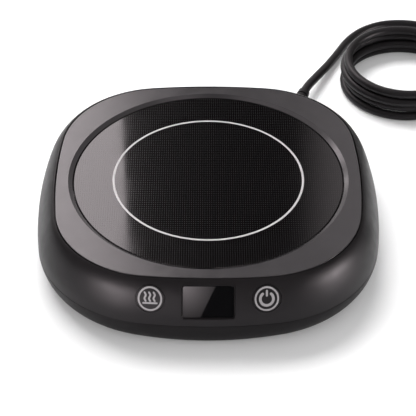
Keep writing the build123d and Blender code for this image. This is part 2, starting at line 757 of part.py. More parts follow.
# Keys: each cap follows the housing's curved face, and pushes a switch on the control board.
stem_back = board_depth - switch_height - plunger_rise
for name, x in keys:
    with BuildPart() as key:
        with BuildSketch(panel.offset(2 * wall)):
            with Locations((x, key_lift)):
                Circle(key_radius)
        extrude(amount=-(2 * wall + key_seat + key_gap))
        add(upper_blank.part, mode=Mode.INTERSECT)
        with BuildSketch(panel.offset(-(key_seat + key_gap))):
            with Locations((x, key_lift)):
                Rectangle(2 * (key_radius + key_ear), key_ear_height)
        extrude(amount=-key_ear_thickness)
        with BuildSketch(panel.offset(-(key_seat + key_gap + key_ear_thickness))):
            with Locations((x, key_lift)):
                Circle(stem_radius)
        extrude(amount=-(stem_back - key_seat - key_gap - key_ear_thickness))
    finish(key, f"{name}_key")

    with BuildPart() as plunger:
        with BuildSketch(panel.offset(-stem_back)):
            with Locations((x, key_lift)):
                Circle(plunger_radius)
        extrude(amount=-(plunger_rise + plunger_sink))
    finish(plunger, f"{name}_switch_plunger")

    with BuildPart() as switch_body:
        with BuildSketch(panel.offset(-(board_depth - switch_height))):
            with Locations((x, key_lift)):
                Rectangle(switch_size, switch_size)
        extrude(amount=-switch_height)
        with BuildSketch(panel.offset(-(board_depth - switch_height))):
            with Locations((x, key_lift)):
                Circle(plunger_radius + key_gap / 2)
        extrude(amount=-(plunger_sink + key_travel + key_gap), mode=Mode.SUBTRACT)
    finish(switch_body, f"{name}_switch")

# Mains board
with BuildPart() as power_board:
    with BuildSketch(Plane.XY.offset(power_z)):
        with Locations((power_x, power_y)):
            Rectangle(power_width, power_depth)
        with Locations(*power_screws):
            Circle(power_screw_radius, mode=Mode.SUBTRACT)
    extrude(amount=power_thickness)
finish(power_board, "power_board")

with BuildPart() as power_board_screws:
    for x, y in power_screws:
        with Locations((x, y, power_top)):
            Cylinder(power_head_radius, power_head_height, align=UP)
            Cylinder(power_screw_radius, power_thickness + power_screw_depth, align=DOWN)
finish(power_board_screws, "power_board_screws")

with BuildPart() as terminals:
    for x, y in (
        (heater_terminal_x, heater_terminal_y),
        (cutout_terminal_x, cutout_terminal_y),
        (mains_terminal_x, mains_terminal_y),
    ):
        with Locations((x, y, power_top)):
            Box(terminal_width, terminal_depth, terminal_height, align=UP)
finish(terminals, "wire_terminals")

with BuildPart() as headers:
    with Locations((socket_x, header_y, power_top)):
        Box(socket_width, socket_height, header_top - power_top, align=UP)
    with Locations((sensor_header_x, header_y, power_top)):
        Box(sensor_header_width, socket_height, header_top - power_top, align=UP)
finish(headers, "board_headers")

transformer_height = transformer_share * board_room
winding_height = transformer_height - 2 * core_limb
transformer = (power_x + transformer_at[0], power_y + transformer_at[1])
with BuildPart() as transformer_core:
    with Locations((*transformer, power_top)):
        Box(transformer_width, transformer_depth, transformer_height, align=UP)
    with Locations((*transformer, power_top + core_limb)):
        Box(
            transformer_width - 3 * core_limb,
            transformer_depth,
            winding_height,
            align=UP,
            mode=Mode.SUBTRACT,
        )
        Box(core_post_width, core_post_depth, winding_height, align=UP)
finish(transformer_core, "transformer_core")

with BuildPart() as transformer_winding:
    with Locations((*transformer, power_top + core_limb)):
        Box(
            transformer_width - 3 * core_limb - winding_slip,
            transformer_depth - 2 * winding_slip,
            winding_height,
            align=UP,
        )
        fillet(transformer_winding.edges().filter_by(Axis.Z), component_round)
        Box(core_post_width, core_post_depth, winding_height, align=UP, mode=Mode.SUBTRACT)
finish(transformer_winding, "transformer_winding")

with BuildPart() as film_capacitor:
    with Locations((power_x + film_at[0], power_y + film_at[1], power_top)):
        Box(film_width, film_depth, film_share * board_room, align=UP)
    fillet(film_capacitor.edges().filter_by(Axis.Z), component_round)
finish(film_capacitor, "film_capacitor")

smoothing_radius = smoothing_share * board_room / 2
with BuildPart() as smoothing_capacitor:
    with BuildSketch(Plane.YZ.offset(power_x + smoothing_at[0])):
        with Locations((power_y + smoothing_at[1], power_top + smoothing_radius)):
            Circle(smoothing_radius)
    extrude(amount=smoothing_length / 2, both=True)
finish(smoothing_capacitor, "smoothing_capacitor")

with BuildPart() as mains_fuse:
    with BuildSketch(Plane.XZ.offset(-power_y - fuse_at[1])):
        with Locations((power_x + fuse_at[0], power_top + fuse_radius)):
            Circle(fuse_radius)
    extrude(amount=fuse_length / 2, both=True)
finish(mains_fuse, "mains_fuse")

with BuildPart() as relay:
    with Locations((power_x + relay_at[0], power_y + relay_at[1], power_top)):
        Box(relay_width, relay_depth, relay_share * board_room, align=UP)
    fillet(relay.edges().filter_by(Axis.Z), component_round)
finish(relay, "heater_relay")

# Wires
with BuildPart() as heater_wires:
    for side in (-1, 1):
        with Locations((heater_terminal_x + side * wire_pitch / 2, heater_terminal_y, terminal_top)):
            Cylinder(wire_radius, element_level - terminal_top, align=UP)
finish(heater_wires, "heater_wires")

with BuildPart() as cutout_wires:
    for side in (-1, 1):
        start = (cutout_x + side * lead_x, cutout_y, strip_level - cutout_lead_drop)
        entry_x = cutout_terminal_x + side * wire_pitch / 2
        entry_y = cutout_terminal_y - terminal_depth / 2
        entry_z = power_top + cutout_entry_share * board_room
        path = wire_path(
            start,
            (start[0], start[1], entry_z + wire_radius / 2),
            (entry_x, entry_y - wire_lead, entry_z),
            (entry_x, entry_y, entry_z),
        )
        with BuildSketch(Plane(origin=path @ 0, z_dir=path % 0)):
            Circle(wire_radius)
        sweep(path=path)
finish(cutout_wires, "cutout_wires")

with BuildPart() as probe_wires:
    for side in (-1, 1):
        start = (side * sensor_pitch / 2, 0, pan_level - probe_drop)
        entry_x = sensor_header_x + side * sensor_pitch / 2
        drop = (start[2] - header_top) / 3
        path = wire_path(
            start,
            (start[0], 0, start[2] - drop),
            (entry_x, header_y, header_top + drop),
            (entry_x, header_y, header_top),
            bend=drop / 2,
        )
        with BuildSketch(Plane(origin=path @ 0, z_dir=path % 0)):
            Circle(thin_wire_radius)
        sweep(path=path)
finish(probe_wires, "probe_wires")

ribbon_start = panel.from_local_coords((socket_x, socket_y, -(board_back + socket_depth)))
ribbon_turn = panel.from_local_coords((socket_x, socket_y, -(board_back + socket_depth + ribbon_lead)))
with BuildPart() as ribbon_cable:
    with BuildSketch(Plane.YZ.offset(socket_x)):
        with BuildLine():
            FilletPolyline(
                (ribbon_start.Y, ribbon_start.Z),
                (ribbon_turn.Y, ribbon_turn.Z),
                (header_y, ribbon_level),
                (header_y, header_top),
                radius=ribbon_bend,
            )
        trace(line_width=ribbon_thickness)
    extrude(amount=ribbon_width / 2, both=True)
finish(ribbon_cable, "ribbon_cable")

# Mains lead: strain relief, the lead inside, its clamp and its two conductors
with BuildPart() as strain_relief:
    with BuildSketch(gland.offset(-gland_seat)):
        Circle(gland_collar_radius)
    with BuildSketch(gland.offset(boot_length)):
        Circle(boot_tip_radius)
    loft()
    ring_pitch = (boot_length - boot_plain_base - boot_plain_tip) / boot_ring_count
    for ring in range(boot_ring_count):
        along = boot_plain_base + ring * ring_pitch
        around = gland_collar_radius + (boot_tip_radius - gland_collar_radius) * along / boot_length
        with BuildSketch(gland.offset(along)):
            Circle(2 * gland_collar_radius)
            Circle(around - boot_ring_depth, mode=Mode.SUBTRACT)
        extrude(amount=boot_ring_width, mode=Mode.SUBTRACT)
    with BuildSketch(gland.offset(-gland_seat)):
        Circle(gland_neck_radius)
    extrude(amount=-(gland_block - gland_seat))
    with BuildSketch(gland.offset(-gland_block)):
        Circle(gland_collar_radius)
    extrude(amount=-gland_collar)
    with BuildSketch(gland.offset(boot_length)):
        Circle(cord_radius)
    extrude(amount=-(boot_length + gland_block + gland_collar), mode=Mode.SUBTRACT)
finish(strain_relief, "strain_relief")

with BuildPart() as inner_lead:
    with BuildSketch(gland):
        Circle(cord_radius)
    extrude(amount=-lead_inside)
finish(inner_lead, "inner_lead")

with BuildPart() as cord_clamp:
    with BuildSketch(gland.offset(-clamp_start)):
        with Locations((0, clamp_gap / 2)):
            Rectangle(clamp_width, cord_radius + clamp_cover, align=(Align.CENTER, Align.MIN))
        Circle(cord_radius, mode=Mode.SUBTRACT)
    extrude(amount=-clamp_length)
    clamp_top = gland_height + clamp_gap / 2 + cord_radius + clamp_cover
    for side in (-1, 1):
        spot = gland.from_local_coords(
            (side * clamp_screw_reach, 0, -clamp_start - clamp_length / 2)
        )
        with BuildSketch(Plane.XY.offset(clamp_top)):
            with Locations((spot.X, spot.Y)):
                Circle(power_screw_radius)
        extrude(amount=-2 * (cord_radius + clamp_cover), mode=Mode.SUBTRACT)
finish(cord_clamp, "cord_clamp")

with BuildPart() as clamp_screws:
    for side in (-1, 1):
        spot = gland.from_local_coords(
            (side * clamp_screw_reach, 0, -clamp_start - clamp_length / 2)
        )
        with Locations((spot.X, spot.Y, clamp_top)):
            Cylinder(power_head_radius, power_head_height, align=UP)
            Cylinder(
                power_screw_radius,
                clamp_top - gland_height + clamp_gap / 2 + power_screw_depth,
                align=DOWN,
            )
finish(clamp_screws, "clamp_screws")

for name, side in (("live", 1), ("neutral", -1)):
    start = gland.from_local_coords((side * cord_radius / 2, 0, -lead_inside))
    ahead = gland.from_local_coords((side * cord_radius / 2, 0, -lead_inside - wire_lead))
    entry_x = mains_terminal_x - side * wire_pitch / 2
    entry_y = mains_terminal_y + terminal_depth / 2
    entry_z = power_top + mains_entry_share * board_room
    path = wire_path(start, ahead, (entry_x, entry_y + wire_lead, entry_z), (entry_x, entry_y, entry_z))
    with BuildPart() as conductor:
        with BuildSketch(Plane(origin=path @ 0, z_dir=path % 0)):
            Circle(wire_radius)
        sweep(path=path)
    finish(conductor, f"{name}_wire")

# The free cord: it starts in the gland, leaves the boot, runs along the table behind the coil and
# joins the coil's lowest turn at the right. The tail leaves the top turn and drops to the plug.
boot_end = gland.from_local_coords((0, 0, boot_length + boot_straight))
cord_route = [tuple(gland.origin), tuple(boot_end)] + [
    (coil_x + x, coil_y + y, cord_radius + lift)
    for x, y, lift in (
        (-34.7, 15.5, 0.7),
        (-22.8, 40.9, 0.0),
        (-6.2, 52.2, 0.0),
        (14.2, 51.3, 0.0),
        (30.3, 38.9, 0.0),
        (36.5, 19.5, 0.0),
        (30.2, 2.0, 0.0),
    )
]
tail_route = [
    (coil_x + x, coil_y + y, cord_radius + lift)
    for x, y, lift in (
        (28.4, -2.5, coil_height - 2 * cord_radius),
        (31.0, -18.5, 7.5),
        (35.0, -34.5, 2.7),
        (37.2, -50.5, 0.9),
        (36.6, -64.5, plug_height / 2 - cord_radius),
        (34.8, -77.5, plug_height / 2 - cord_radius),
    )
]
for name, route in (("cord", cord_route), ("cord_tail", tail_route)):
    radii = bend_radii(route)
    with BuildPart() as stretch:
        with BuildLine():
            path = FilletPolyline(*route, radius=radii)
        with BuildSketch(Plane(origin=path @ 0, z_dir=path % 0)):
            Circle(cord_radius)
        sweep()
    finish(stretch, name)
    print(name, "length", round(path.length, 1), "bend radii", [round(r, 1) for r in radii])
    print(name, "volume", round(stretch.part.volume), "of", round(pi * cord_radius**2 * path.length))

with BuildPart() as cord_coil:
    with BuildSketch():
        with Locations((coil_x, coil_y)):
            Circle(coil_outer)
            Circle(coil_inner, mode=Mode.SUBTRACT)
    extrude(amount=coil_height)
finish(cord_coil, "cord_coil")

plug_way = (Vector(tail_route[-1]) - Vector(tail_route[-2])).normalized()
plug = Plane(origin=tail_route[-1], x_dir=plug_way.cross(Vector(0, 0, 1)), z_dir=plug_way)
with BuildPart() as plug_body:
    with BuildSketch(plug):
        Circle(plug_neck_tip)
    with BuildSketch(plug.offset(plug_neck_length)):
        Circle(plug_neck_radius)
    loft()
    with BuildSketch(plug.offset(plug_neck_length)):
        RectangleRounded(plug_width, plug_height, plug_round)
    extrude(amount=plug_length)
    fillet(plug_body.faces().sort_by(Axis.Y)[0].edges(), 1.0)
    with BuildSketch(plug.offset(plug_neck_length + plug_length)):
        with Locations((-blade_pitch / 2, 0), (blade_pitch / 2, 0)):
            Rectangle(blade_thickness, blade_width)
    extrude(amount=-blade_root, mode=Mode.SUBTRACT)
finish(plug_body, "plug_body")

with BuildPart() as plug_blades:
    with BuildSketch(plug.offset(plug_neck_length + plug_length - blade_root)):
        with Locations((-blade_pitch / 2, 0), (blade_pitch / 2, 0)):
            Rectangle(blade_thickness, blade_width)
    extrude(amount=blade_root + blade_length)
finish(plug_blades, "plug_blades")
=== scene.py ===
import json
import math

import bmesh
import bpy
from mathutils import Matrix, Vector
from mathutils.bvhtree import BVHTree


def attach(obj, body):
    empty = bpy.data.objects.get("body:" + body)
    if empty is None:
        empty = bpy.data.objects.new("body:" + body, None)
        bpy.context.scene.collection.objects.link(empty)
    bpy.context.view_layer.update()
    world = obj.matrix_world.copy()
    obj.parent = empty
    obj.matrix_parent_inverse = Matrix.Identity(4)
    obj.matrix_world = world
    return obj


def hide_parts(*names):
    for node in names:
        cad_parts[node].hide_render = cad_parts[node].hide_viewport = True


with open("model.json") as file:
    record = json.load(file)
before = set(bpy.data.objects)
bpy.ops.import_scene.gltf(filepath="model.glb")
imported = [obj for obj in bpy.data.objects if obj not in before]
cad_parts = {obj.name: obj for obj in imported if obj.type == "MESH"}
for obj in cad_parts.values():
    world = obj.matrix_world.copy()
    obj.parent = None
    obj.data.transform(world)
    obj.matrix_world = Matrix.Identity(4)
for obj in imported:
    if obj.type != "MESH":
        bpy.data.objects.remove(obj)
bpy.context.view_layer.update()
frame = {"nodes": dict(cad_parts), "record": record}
nodes = frame["nodes"]
mm = 0.001
print("frame loaded,", len(nodes), "nodes")

# camera
cameraView = {
    "aim": (-0.15, -21.9, 31.0),  # mm
    "elevation": 39.85,
    "distance": 696.0,
    "lens": 141.6,
}


def makeCamera(view):
    lean = math.radians(view["elevation"])
    away = Vector((0, -math.cos(lean), math.sin(lean)))
    data = bpy.data.cameras.new("camera")
    data.lens = view["lens"]
    data.clip_start, data.clip_end = 0.02, 50
    camera = bpy.data.objects.new("camera", data)
    camera.location = (Vector(view["aim"]) + away * view["distance"]) * mm
    camera.rotation_euler = (-away).to_track_quat("-Z", "Y").to_euler()
    bpy.context.scene.collection.objects.link(camera)
    bpy.context.scene.camera = camera


makeCamera(cameraView)
print("camera placed")


# helpers for pieces and materials
glossTint = (1.0, 0.94, 0.985)


def addPiece(name, data, body="body"):
    piece = bpy.data.objects.new(name, data)
    bpy.context.scene.collection.objects.link(piece)
    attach(piece, body)
    return piece


def meshFrom(name, points, faces):
    mesh = bpy.data.meshes.new(name)
    mesh.from_pydata([tuple(p) for p in points], [], faces)
    mesh.validate()
    mesh.update()
    return mesh


def dress(piece, material):
    piece.data.materials.clear()
    piece.data.materials.append(material)


def addNode(tree, kind, inputs=None, **settings):
    node = tree.nodes.new(kind)
    for name, value in settings.items():
        setattr(node, name, value)
    for name, value in (inputs or {}).items():
        if isinstance(value, bpy.types.NodeSocket):
            tree.links.new(value, node.inputs[name])
        else:
            node.inputs[name].default_value = value
    return node


def principled(name, color, roughness, **sockets):
    material = bpy.data.materials.new(name)
    material.use_nodes = True
    shader = material.node_tree.nodes["Principled BSDF"]
    shader.inputs["Specular Tint"].default_value = (*glossTint, 1)
    shader.inputs["Base Color"].default_value = (*color, 1)
    shader.inputs["Roughness"].default_value = roughness
    for socket, value in sockets.items():
        shader.inputs[socket.replace("_", " ")].default_value = value
    return material, material.node_tree, shader


def objectCoords(tree):
    return addNode(tree, "ShaderNodeTexCoord").outputs["Object"]


def noiseAt(tree, coords, scale, detail):
    inputs = {"Vector": coords, "Scale": scale, "Detail": detail}
    return addNode(tree, "ShaderNodeTexNoise", inputs).outputs["Fac"]


def remap(tree, value, low, high, start=0.3, stop=0.7):
    inputs = {"Value": value, "From Min": start, "From Max": stop, "To Min": low, "To Max": high}
    return addNode(tree, "ShaderNodeMapRange", inputs).outputs["Result"]


def maths(tree, operation, first, second, **settings):
    inputs = {0: first, 1: second}
    return addNode(tree, "ShaderNodeMath", inputs, operation=operation, **settings).outputs[0]


def vectorMaths(tree, operation, first, second=None):
    inputs = {0: first} if second is None else {0: first, 1: second}
    node = addNode(tree, "ShaderNodeVectorMath", inputs, operation=operation)
    return node.outputs["Value" if operation == "LENGTH" else "Vector"]


def blendColors(tree, factor, first, second):
    mix = addNode(tree, "ShaderNodeMix", data_type="RGBA")
    tree.links.new(factor, mix.inputs["Factor"])
    for socket, value in ((mix.inputs[6], first), (mix.inputs[7], second)):
        if isinstance(value, bpy.types.NodeSocket):
            tree.links.new(value, socket)
        else:
            socket.default_value = (*value, 1)
    return mix.outputs[2]


def addBump(tree, shader, height, strength, distance):
    inputs = {"Height": height, "Strength": strength, "Distance": distance}
    bump = addNode(tree, "ShaderNodeBump", inputs)
    tree.links.new(bump.outputs["Normal"], shader.inputs["Normal"])


mouldTexture = {
    "clouds": (60, 4),  # scale and detail of the noise that mottles the colour
    "gloss": (240, 3),  # and of the one that varies the gloss
    "grainDetail": 2,
    "grainStrength": 0.35,
}


def moulded(
    name, color, roughness, grain=1600, grainDepth=0.00004, mottle=0.12, wander=0.05, **sockets
):
    # a moulded or cast finish: fine grain, slight clouding of colour and of gloss
    material, tree, shader = principled(name, color, roughness, **sockets)
    coords = objectCoords(tree)
    clouds = remap(tree, noiseAt(tree, coords, *mouldTexture["clouds"]), 0, 1)
    dark = tuple(c * (1 - mottle) for c in color)
    light = tuple(min(1, c * (1 + mottle)) for c in color)
    tree.links.new(blendColors(tree, clouds, dark, light), shader.inputs["Base Color"])
    glossNoise = noiseAt(tree, coords, *mouldTexture["gloss"])
    gloss = remap(tree, glossNoise, roughness - wander, roughness + wander)
    tree.links.new(gloss, shader.inputs["Roughness"])
    grainNoise = noiseAt(tree, coords, grain, mouldTexture["grainDetail"])
    addBump(tree, shader, grainNoise, mouldTexture["grainStrength"], grainDepth)
    return material


# the front panel: a flat reference that leans with the front wall
panel = {
    "middle": (0.0, -71.52, 22.5),  # mm
    "lean": 23.57,
    "keyX": 23.7,
    "keyY": 1.5,
}
panelLean = math.radians(panel["lean"])
panelOut = Vector((0, -math.cos(panelLean), math.sin(panelLean)))
panelUp = Vector((0, math.sin(panelLean), math.cos(panelLean)))


def panelPoint(x, y, out=0.0):
    return (Vector(panel["middle"]) + Vector((x, 0, 0)) + panelUp * y + panelOut * out) * mm


# cord
cordShape = {
    "radius": 2.1,  # mm
    "gland": (37.77, 69.69, 7.2),
    "glandTurn": 19.7,
    "straight": (25.2, 33.0),  # points on the boot's line
    "alongTable": [
        (62.3, 127.0, 2.8),
        (74.2, 152.4, 2.1),
        (90.8, 163.7, 2.1),
        (111.2, 162.8, 2.1),
        (127.3, 150.4, 2.1),
        (133.5, 131.0, 2.1),
        (127.2, 113.5, 2.1),
    ],
    "coilMiddle": (97.0, 111.5),
    "coilRadius": 28.95,
    "turnHeights": (2.1, 6.05, 9.95, 13.9),
    "turnShift": (0.75, -0.75, 0.75, -0.6),
    "pointsPerTurn": 16,
    "climb": (75.0, 12.0),  # degrees of a turn over which it rises to the next
    "wander": 0.22,  # mm by which a turn leaves its circle
    "wanderShift": 70,  # degrees from one turn to the next
    "tail": [
        (125.4, 109.0, 13.9),
        (128.0, 93.0, 9.6),
        (132.0, 77.0, 4.8),
        (134.2, 61.0, 3.0),
        (133.6, 47.0, 7.0),
        (131.8, 34.0, 7.0),
    ],
    "length": 0.99,  # metres
}


def easing(share):
    share = min(1.0, max(0.0, share))
    return share * share * (3 - 2 * share)


def coilPoints(shape):
    points = []
    heights, shifts = shape["turnHeights"], shape["turnShift"]
    count = shape["pointsPerTurn"]
    start, stop = shape["climb"]
    for step in range(1, len(heights) * count):
        angle = -360.0 * step / count
        turn, left = divmod(step, count)
        toGo = 360.0 * (1 - left / count)  # degrees left of this turn
        above = min(turn + 1, len(heights) - 1)
        rise = easing((start - toGo) / (start - stop))
        height = heights[turn] + (heights[above] - heights[turn]) * rise
        shift = shifts[turn] + (shifts[above] - shifts[turn]) * rise
        sway = math.sin(math.radians(2 * angle + shape["wanderShift"] * turn))
        radius = shape["coilRadius"] + shift + shape["wander"] * sway
        points.append(
            (
                shape["coilMiddle"][0] + radius * math.cos(math.radians(angle)),
                shape["coilMiddle"][1] + radius * math.sin(math.radians(angle)),
                height,
            )
        )
    return points


def makeCord(shape):
    turn = math.radians(shape["glandTurn"])
    way = Vector((math.sin(turn), math.cos(turn), 0))
    gland = Vector(shape["gland"])
    points = [gland] + [gland + way * along for along in shape["straight"]]
    points += shape["alongTable"] + coilPoints(shape) + shape["tail"]
    curve = bpy.data.curves.new("mainsCord", "CURVE")
    curve.dimensions = "3D"
    curve.bevel_depth = 1.0  # times each point's radius, which also sets the curve's box
    curve.bevel_resolution = 6
    curve.resolution_u = 8
    curve.use_fill_caps = True
    spline = curve.splines.new("NURBS")
    spline.points.add(len(points) - 1)
    for place, point in zip(spline.points, points):
        place.co = (*(Vector(point) * mm), 1)
        place.radius = shape["radius"] * mm
    spline.order_u = 3
    spline.use_endpoint_u = True
    return addPiece("mainsCord", curve)


mainsCord = makeCord(cordShape)
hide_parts("cord", "cord_coil", "cord_tail")
print("cord laid")

# housing, keys and trim: satin black moulding
housingFinish = {
    "color": (0.0036, 0.003, 0.0034),
    "roughness": 0.4,
    "Specular_IOR_Level": 0.22,
    "grain": 1900,
    "grainDepth": 0.00002,
    "mottle": 0.1,
    "wander": 0.03,
}
housingBlack = moulded("housingBlack", **housingFinish)

baseFinish = {
    "color": (0.0044, 0.0037, 0.0042),
    "roughness": 0.46,
    "Specular_IOR_Level": 0.15,
    "grain": 1700,
    "grainDepth": 0.00003,
    "mottle": 0.1,
    "wander": 0.04,
}
baseBlack = moulded("baseBlack", **baseFinish)

deckFinish = {
    "color": (0.029, 0.027, 0.0285),
    "roughness": 0.2,
    "grain": 2600,
    "grainDepth": 0.00003,
    "mottle": 0.08,
    "wander": 0.03,
}
deckGrey = moulded("deckGrey", **deckFinish)

# glass: polished black, with a fine print of duller dots
glassFinish = {
    "color": (0.0012, 0.0011, 0.0012),
    "dotColor": (0.0014, 0.0013, 0.0014),
    "dotPitch": (0.96, 1.25),  # mm
    "dotRadius": 0.228,
    "dotEdge": 0.3,  # share of the radius over which a dot fades, inward and outward
    "dotRoughness": 0.276,
    "roughness": 0.045,
    "smears": (35, 4),  # noise scale and detail
    "smearRange": (0.7, 1.5),  # times the roughness
}


def makeGlass(finish):
    color, roughness = finish["color"], finish["roughness"]
    material, tree, shader = principled("plateGlass", color, roughness, IOR=1.5)
    coords = objectCoords(tree)
    across, along = finish["dotPitch"]
    cells = vectorMaths(tree, "MULTIPLY", coords, (1 / (across * mm), 1 / (along * mm), 0))
    centred = vectorMaths(tree, "SUBTRACT", vectorMaths(tree, "FRACTION", cells), (0.5, 0.5, 0))
    away = vectorMaths(tree, "LENGTH", vectorMaths(tree, "MULTIPLY", centred, (across, along, 0)))
    radius, edge = finish["dotRadius"], finish["dotEdge"]
    dot = remap(tree, away, 1, 0, radius * (1 - edge), radius * (1 + edge))
    dotted = blendColors(tree, dot, color, finish["dotColor"])
    tree.links.new(dotted, shader.inputs["Base Color"])
    low, high = (roughness * share for share in finish["smearRange"])
    smears = remap(tree, noiseAt(tree, coords, *finish["smears"]), low, high)
    printed = maths(tree, "MULTIPLY", dot, finish["dotRoughness"])
    tree.links.new(maths(tree, "MAXIMUM", smears, printed), shader.inputs["Roughness"])
    return material


dress(nodes["glass_plate"], makeGlass(glassFinish))

windowFinish = {
    "color": (0.004, 0.004, 0.0045),
    "roughness": 0.012,
    "haze": (120, 3),  # noise scale and detail
    "hazeRange": (0.6, 1.8),  # times the roughness
}


def makeWindow(finish):
    roughness = finish["roughness"]
    material, tree, shader = principled("displayCover", finish["color"], roughness, IOR=1.5)
    low, high = (roughness * share for share in finish["hazeRange"])
    haze = remap(tree, noiseAt(tree, objectCoords(tree), *finish["haze"]), low, high)
    tree.links.new(haze, shader.inputs["Roughness"])
    return material


dress(nodes["display_window"], makeWindow(windowFinish))

for name in ("upper_housing", "display_bezel", "heat_key", "power_key", "cord_clamp"):
    dress(nodes[name], housingBlack)
dress(nodes["base_shell"], baseBlack)
dress(nodes["top_deck"], deckGrey)

cordFinish = {
    "color": (0.0065, 0.006, 0.0065),
    "roughness": 0.42,
    "Specular_IOR_Level": 0.24,
    "grain": 2200,
    "grainDepth": 0.00003,
    "mottle": 0.15,
    "wander": 0.05,
}
cordBlack = moulded("cordBlack", **cordFinish)
dress(mainsCord, cordBlack)
for name in ("strain_relief", "plug_body", "inner_lead"):
    dress(nodes[name], cordBlack)

footFinish = {
    "color": (0.03, 0.03, 0.031),
    "roughness": 0.75,
    "grain": 1500,
    "grainDepth": 0.00008,
}
footRubber = moulded("footRubber", **footFinish)
for place in ("front_left", "front_right", "rear_left", "rear_right"):
    dress(nodes["foot_" + place], footRubber)

# finishes of the parts inside, and of the plug's blades
insideFinishes = {
    "silicone": dict(color=(0.5, 0.1, 0.06), roughness=0.6),
    "aluminium": dict(color=(0.75, 0.75, 0.76), roughness=0.32, Metallic=1.0, grain=900),
    "heater_foil": dict(color=(0.42, 0.2, 0.05), roughness=0.25, grain=300),
    "felt": dict(color=(0.7, 0.68, 0.62), roughness=0.95, grain=1200, grainDepth=0.0003),
    "steel": dict(color=(0.6, 0.6, 0.61), roughness=0.3, Metallic=1.0, grain=1100),
    "brass": dict(color=(0.7, 0.52, 0.26), roughness=0.28, Metallic=1.0),
    "ceramic": dict(color=(0.76, 0.74, 0.68), roughness=0.3),
    "module_plastic": dict(color=(0.6, 0.6, 0.58), roughness=0.45),
    "component_black": dict(color=(0.03, 0.03, 0.032), roughness=0.5),
    "circuit_board": dict(color=(0.02, 0.16, 0.05), roughness=0.3, grain=500),
    "connector_plastic": dict(color=(0.74, 0.72, 0.66), roughness=0.45),
    "ribbon_grey": dict(color=(0.4, 0.41, 0.43), roughness=0.5),
    "terminal_green": dict(color=(0.05, 0.3, 0.1), roughness=0.4),
    "ferrite": dict(color=(0.06, 0.06, 0.065), roughness=0.7),
    "winding_tape": dict(color=(0.72, 0.57, 0.1), roughness=0.3),
    "capacitor_yellow": dict(color=(0.7, 0.56, 0.09), roughness=0.4),
    "heater_insulation": dict(
        color=(0.78, 0.76, 0.7), roughness=0.9, grain=1800, grainDepth=0.0002
    ),
    "wire_brown": dict(color=(0.18, 0.08, 0.03), roughness=0.4),
    "wire_blue": dict(color=(0.04, 0.12, 0.4), roughness=0.4),
    "plug_brass": dict(color=(0.76, 0.75, 0.72), roughness=0.22, Metallic=1.0, grain=1400),
}
insideMaterials = {
    slotName: moulded(slotName.replace("_", "") + "Finish", **finish)
    for slotName, finish in insideFinishes.items()
}
for part in frame["record"]["subparts"]:
    if part["material_slot"] in insideMaterials:
        dress(nodes[part["node"]], insideMaterials[part["material_slot"]])
print("finishes on")

# printing on the glass and the keys: a pale ink
inkFinish = {"roughness": 0.5, "grain": 3000, "grainDepth": 0.00001, "mottle": 0.05}
ringInk = moulded("ringInk", (0.44, 0.42, 0.425), **inkFinish)
keyInk = moulded("keyInk", (0.4, 0.38, 0.39), **inkFinish)

plateRing = {
    "radius": 41.25,  # mm
    "width": 0.95,
    "top": 29.8,
    "thickness": 0.03,
    "edge": (0.03, 0.004),  # width of the sloping edge, and its height at the rim
    "segments": 256,
}


def makePlateRing(ring):
    inner, outer = ring["radius"] - ring["width"] / 2, ring["radius"] + ring["width"] / 2
    slope, rim = ring["edge"]
    profile = (
        (inner, rim),
        (inner + slope, ring["thickness"]),
        (outer - slope, ring["thickness"]),
        (outer, rim),
    )
    across, count = len(profile), ring["segments"]
    points, faces = [], []
    for step in range(count):
        angle = 2 * math.pi * step / count
        for radius, lift in profile:
            point = (radius * math.cos(angle), radius * math.sin(angle), ring["top"] + lift)
            points.append(Vector(point) * mm)
    for step in range(count):
        here, there = across * step, across * ((step + 1) % count)
        for side in range(across - 1):
            faces.append((here + side, here + side + 1, there + side + 1, there + side))
    piece = addPiece("plateRing", meshFrom("plateRing", points, faces))
    dress(piece, ringInk)
    for face in piece.data.polygons:
        face.use_smooth = True


makePlateRing(plateRing)

keyPrint = {
    "ringRadius": 4.62,  # mm, middle of the line
    "ringWidth": 0.72,
    "tall": 1.06,  # height of the drawing over its width
    "lift": 0.03,  # above the key's face
    "rayStart": 12,  # how far in front of the panel a point starts before it drops on the key
    "stripShares": (-1, -0.33, 0.33, 1),  # points across a stroke, in half widths
    "capPoints": 7,  # round a stroke's end
    "closed": 0.01,  # ends nearer than this meet
    "arcStep": 5,  # degrees
    "linePieces": 8,
    "barHalf": 2.75,
    "barY": -1.7,
    "barWidth": 0.75,
    "waveX": (-1.95, -0.1, 1.75),
    "waveLow": -0.85,
    "waveHigh": 2.6,
    "waveSway": 0.27,
    "waveWidth": 0.74,
    "waveTurns": 1.25,
    "waveLead": 0.125,  # turns before the top at which the wave starts
    "wavePieces": 24,
    "powerRadius": 2.65,
    "powerWidth": 1.1,
    "powerGap": 40.0,  # degrees each side of the top
    "stemLow": 1.36,
    "stemHigh": 3.2,
    "stemWidth": 0.86,
}


def strokePoints(kind, data, shape):
    if kind == "arc":
        radius, start, stop = data
        count = int(abs(stop - start) / shape["arcStep"])
        angles = [math.radians(start + (stop - start) * i / count) for i in range(count + 1)]
        return [(radius * math.cos(a), radius * math.sin(a)) for a in angles]
    if kind == "wave":
        x, low, high, sway = data
        count = shape["wavePieces"]
        shares = [i / count for i in range(count + 1)]
        turns = [2 * math.pi * (shape["waveTurns"] * s - shape["waveLead"]) for s in shares]
        return [(x + sway * math.sin(t), high + (low - high) * s) for t, s in zip(turns, shares)]
    (startX, startY), (stopX, stopY) = data
    count = shape["linePieces"]
    shares = [i / count for i in range(count + 1)]
    return [(startX + (stopX - startX) * s, startY + (stopY - startY) * s) for s in shares]


def faceTree(node):
    mesh = nodes[node].data
    corners = [v.co.copy() for v in mesh.vertices]
    return BVHTree.FromPolygons(corners, [tuple(p.vertices) for p in mesh.polygons])


